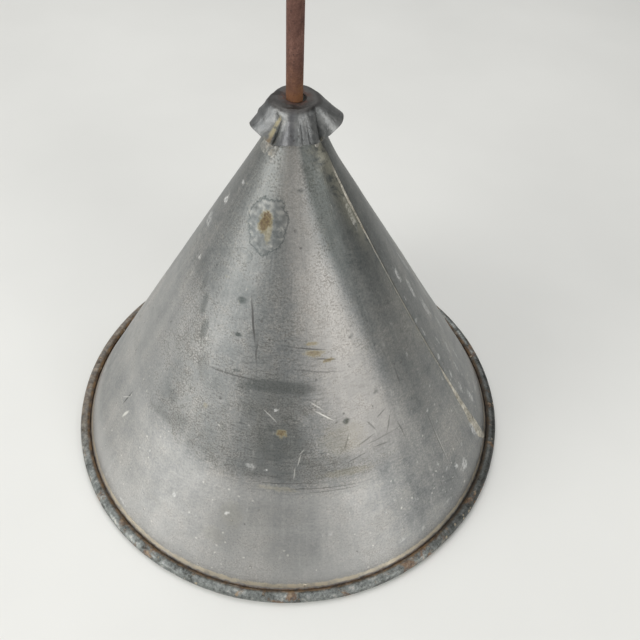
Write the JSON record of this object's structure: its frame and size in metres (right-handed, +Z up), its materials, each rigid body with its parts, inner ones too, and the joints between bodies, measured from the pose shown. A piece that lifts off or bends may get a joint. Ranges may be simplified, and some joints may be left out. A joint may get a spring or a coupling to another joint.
{
  "type": "canning funnel",
  "caption": "Sheet-metal cone with a wired rim, a soldered lap seam and a fluted cap over its narrow end; a round rod slides and turns in the cap and in a strap across the inside.",
  "frame": {"origin": "on the cone's axis, in the plane that its wired rim stands on", "axes": "+Z up along the cone's axis and the rod; -Y is the front, where the strap's front end is soldered inside; +X is right, towards the lap seam"},
  "size_m": [0.2358, 0.2358, 0.3068],
  "materials": {
    "zinc_sheet": "dull mottled grey zinc, with soft lengthwise bands, stains and scratches",
    "cap_sheet": "dull dark grey zinc, hand crimped",
    "solder": "pale dull solder with cream flux stains",
    "rim_wire": "plain iron wire with rust",
    "strap_steel": "dull grey strip with rust spots",
    "washer_steel": "dull plated steel, rusting at the edges",
    "rusty_steel": "matt red-brown rust, pitted",
    "pin_steel": "dull steel with brown rust"
  },
  "bodies": {
    "cone": {"cone_shell": "zinc_sheet", "rim_wire": "rim_wire", "seam_solder": "solder", "inner_seam_solder": "solder", "fluted_cap": "cap_sheet", "cap_solder": "solder", "guide_strap": "strap_steel", "strap_solder": "solder", "rest_washer": "washer_steel"},
    "slider": {"foot_washer": "washer_steel"},
    "rod": {"centre_rod": "rusty_steel", "split_pins": "pin_steel"}
  },
  "joints": [
    {"name": "rod_slide", "type": "slide", "parent": "cone", "child": "slider", "axis": [0, 0, 1], "range_m": [0, 0.06]},
    {"name": "rod_spin", "type": "hinge", "parent": "slider", "child": "rod", "pos_m": [0, 0, 0.1], "axis": [0, 0, 1], "continuous": true}
  ]
}
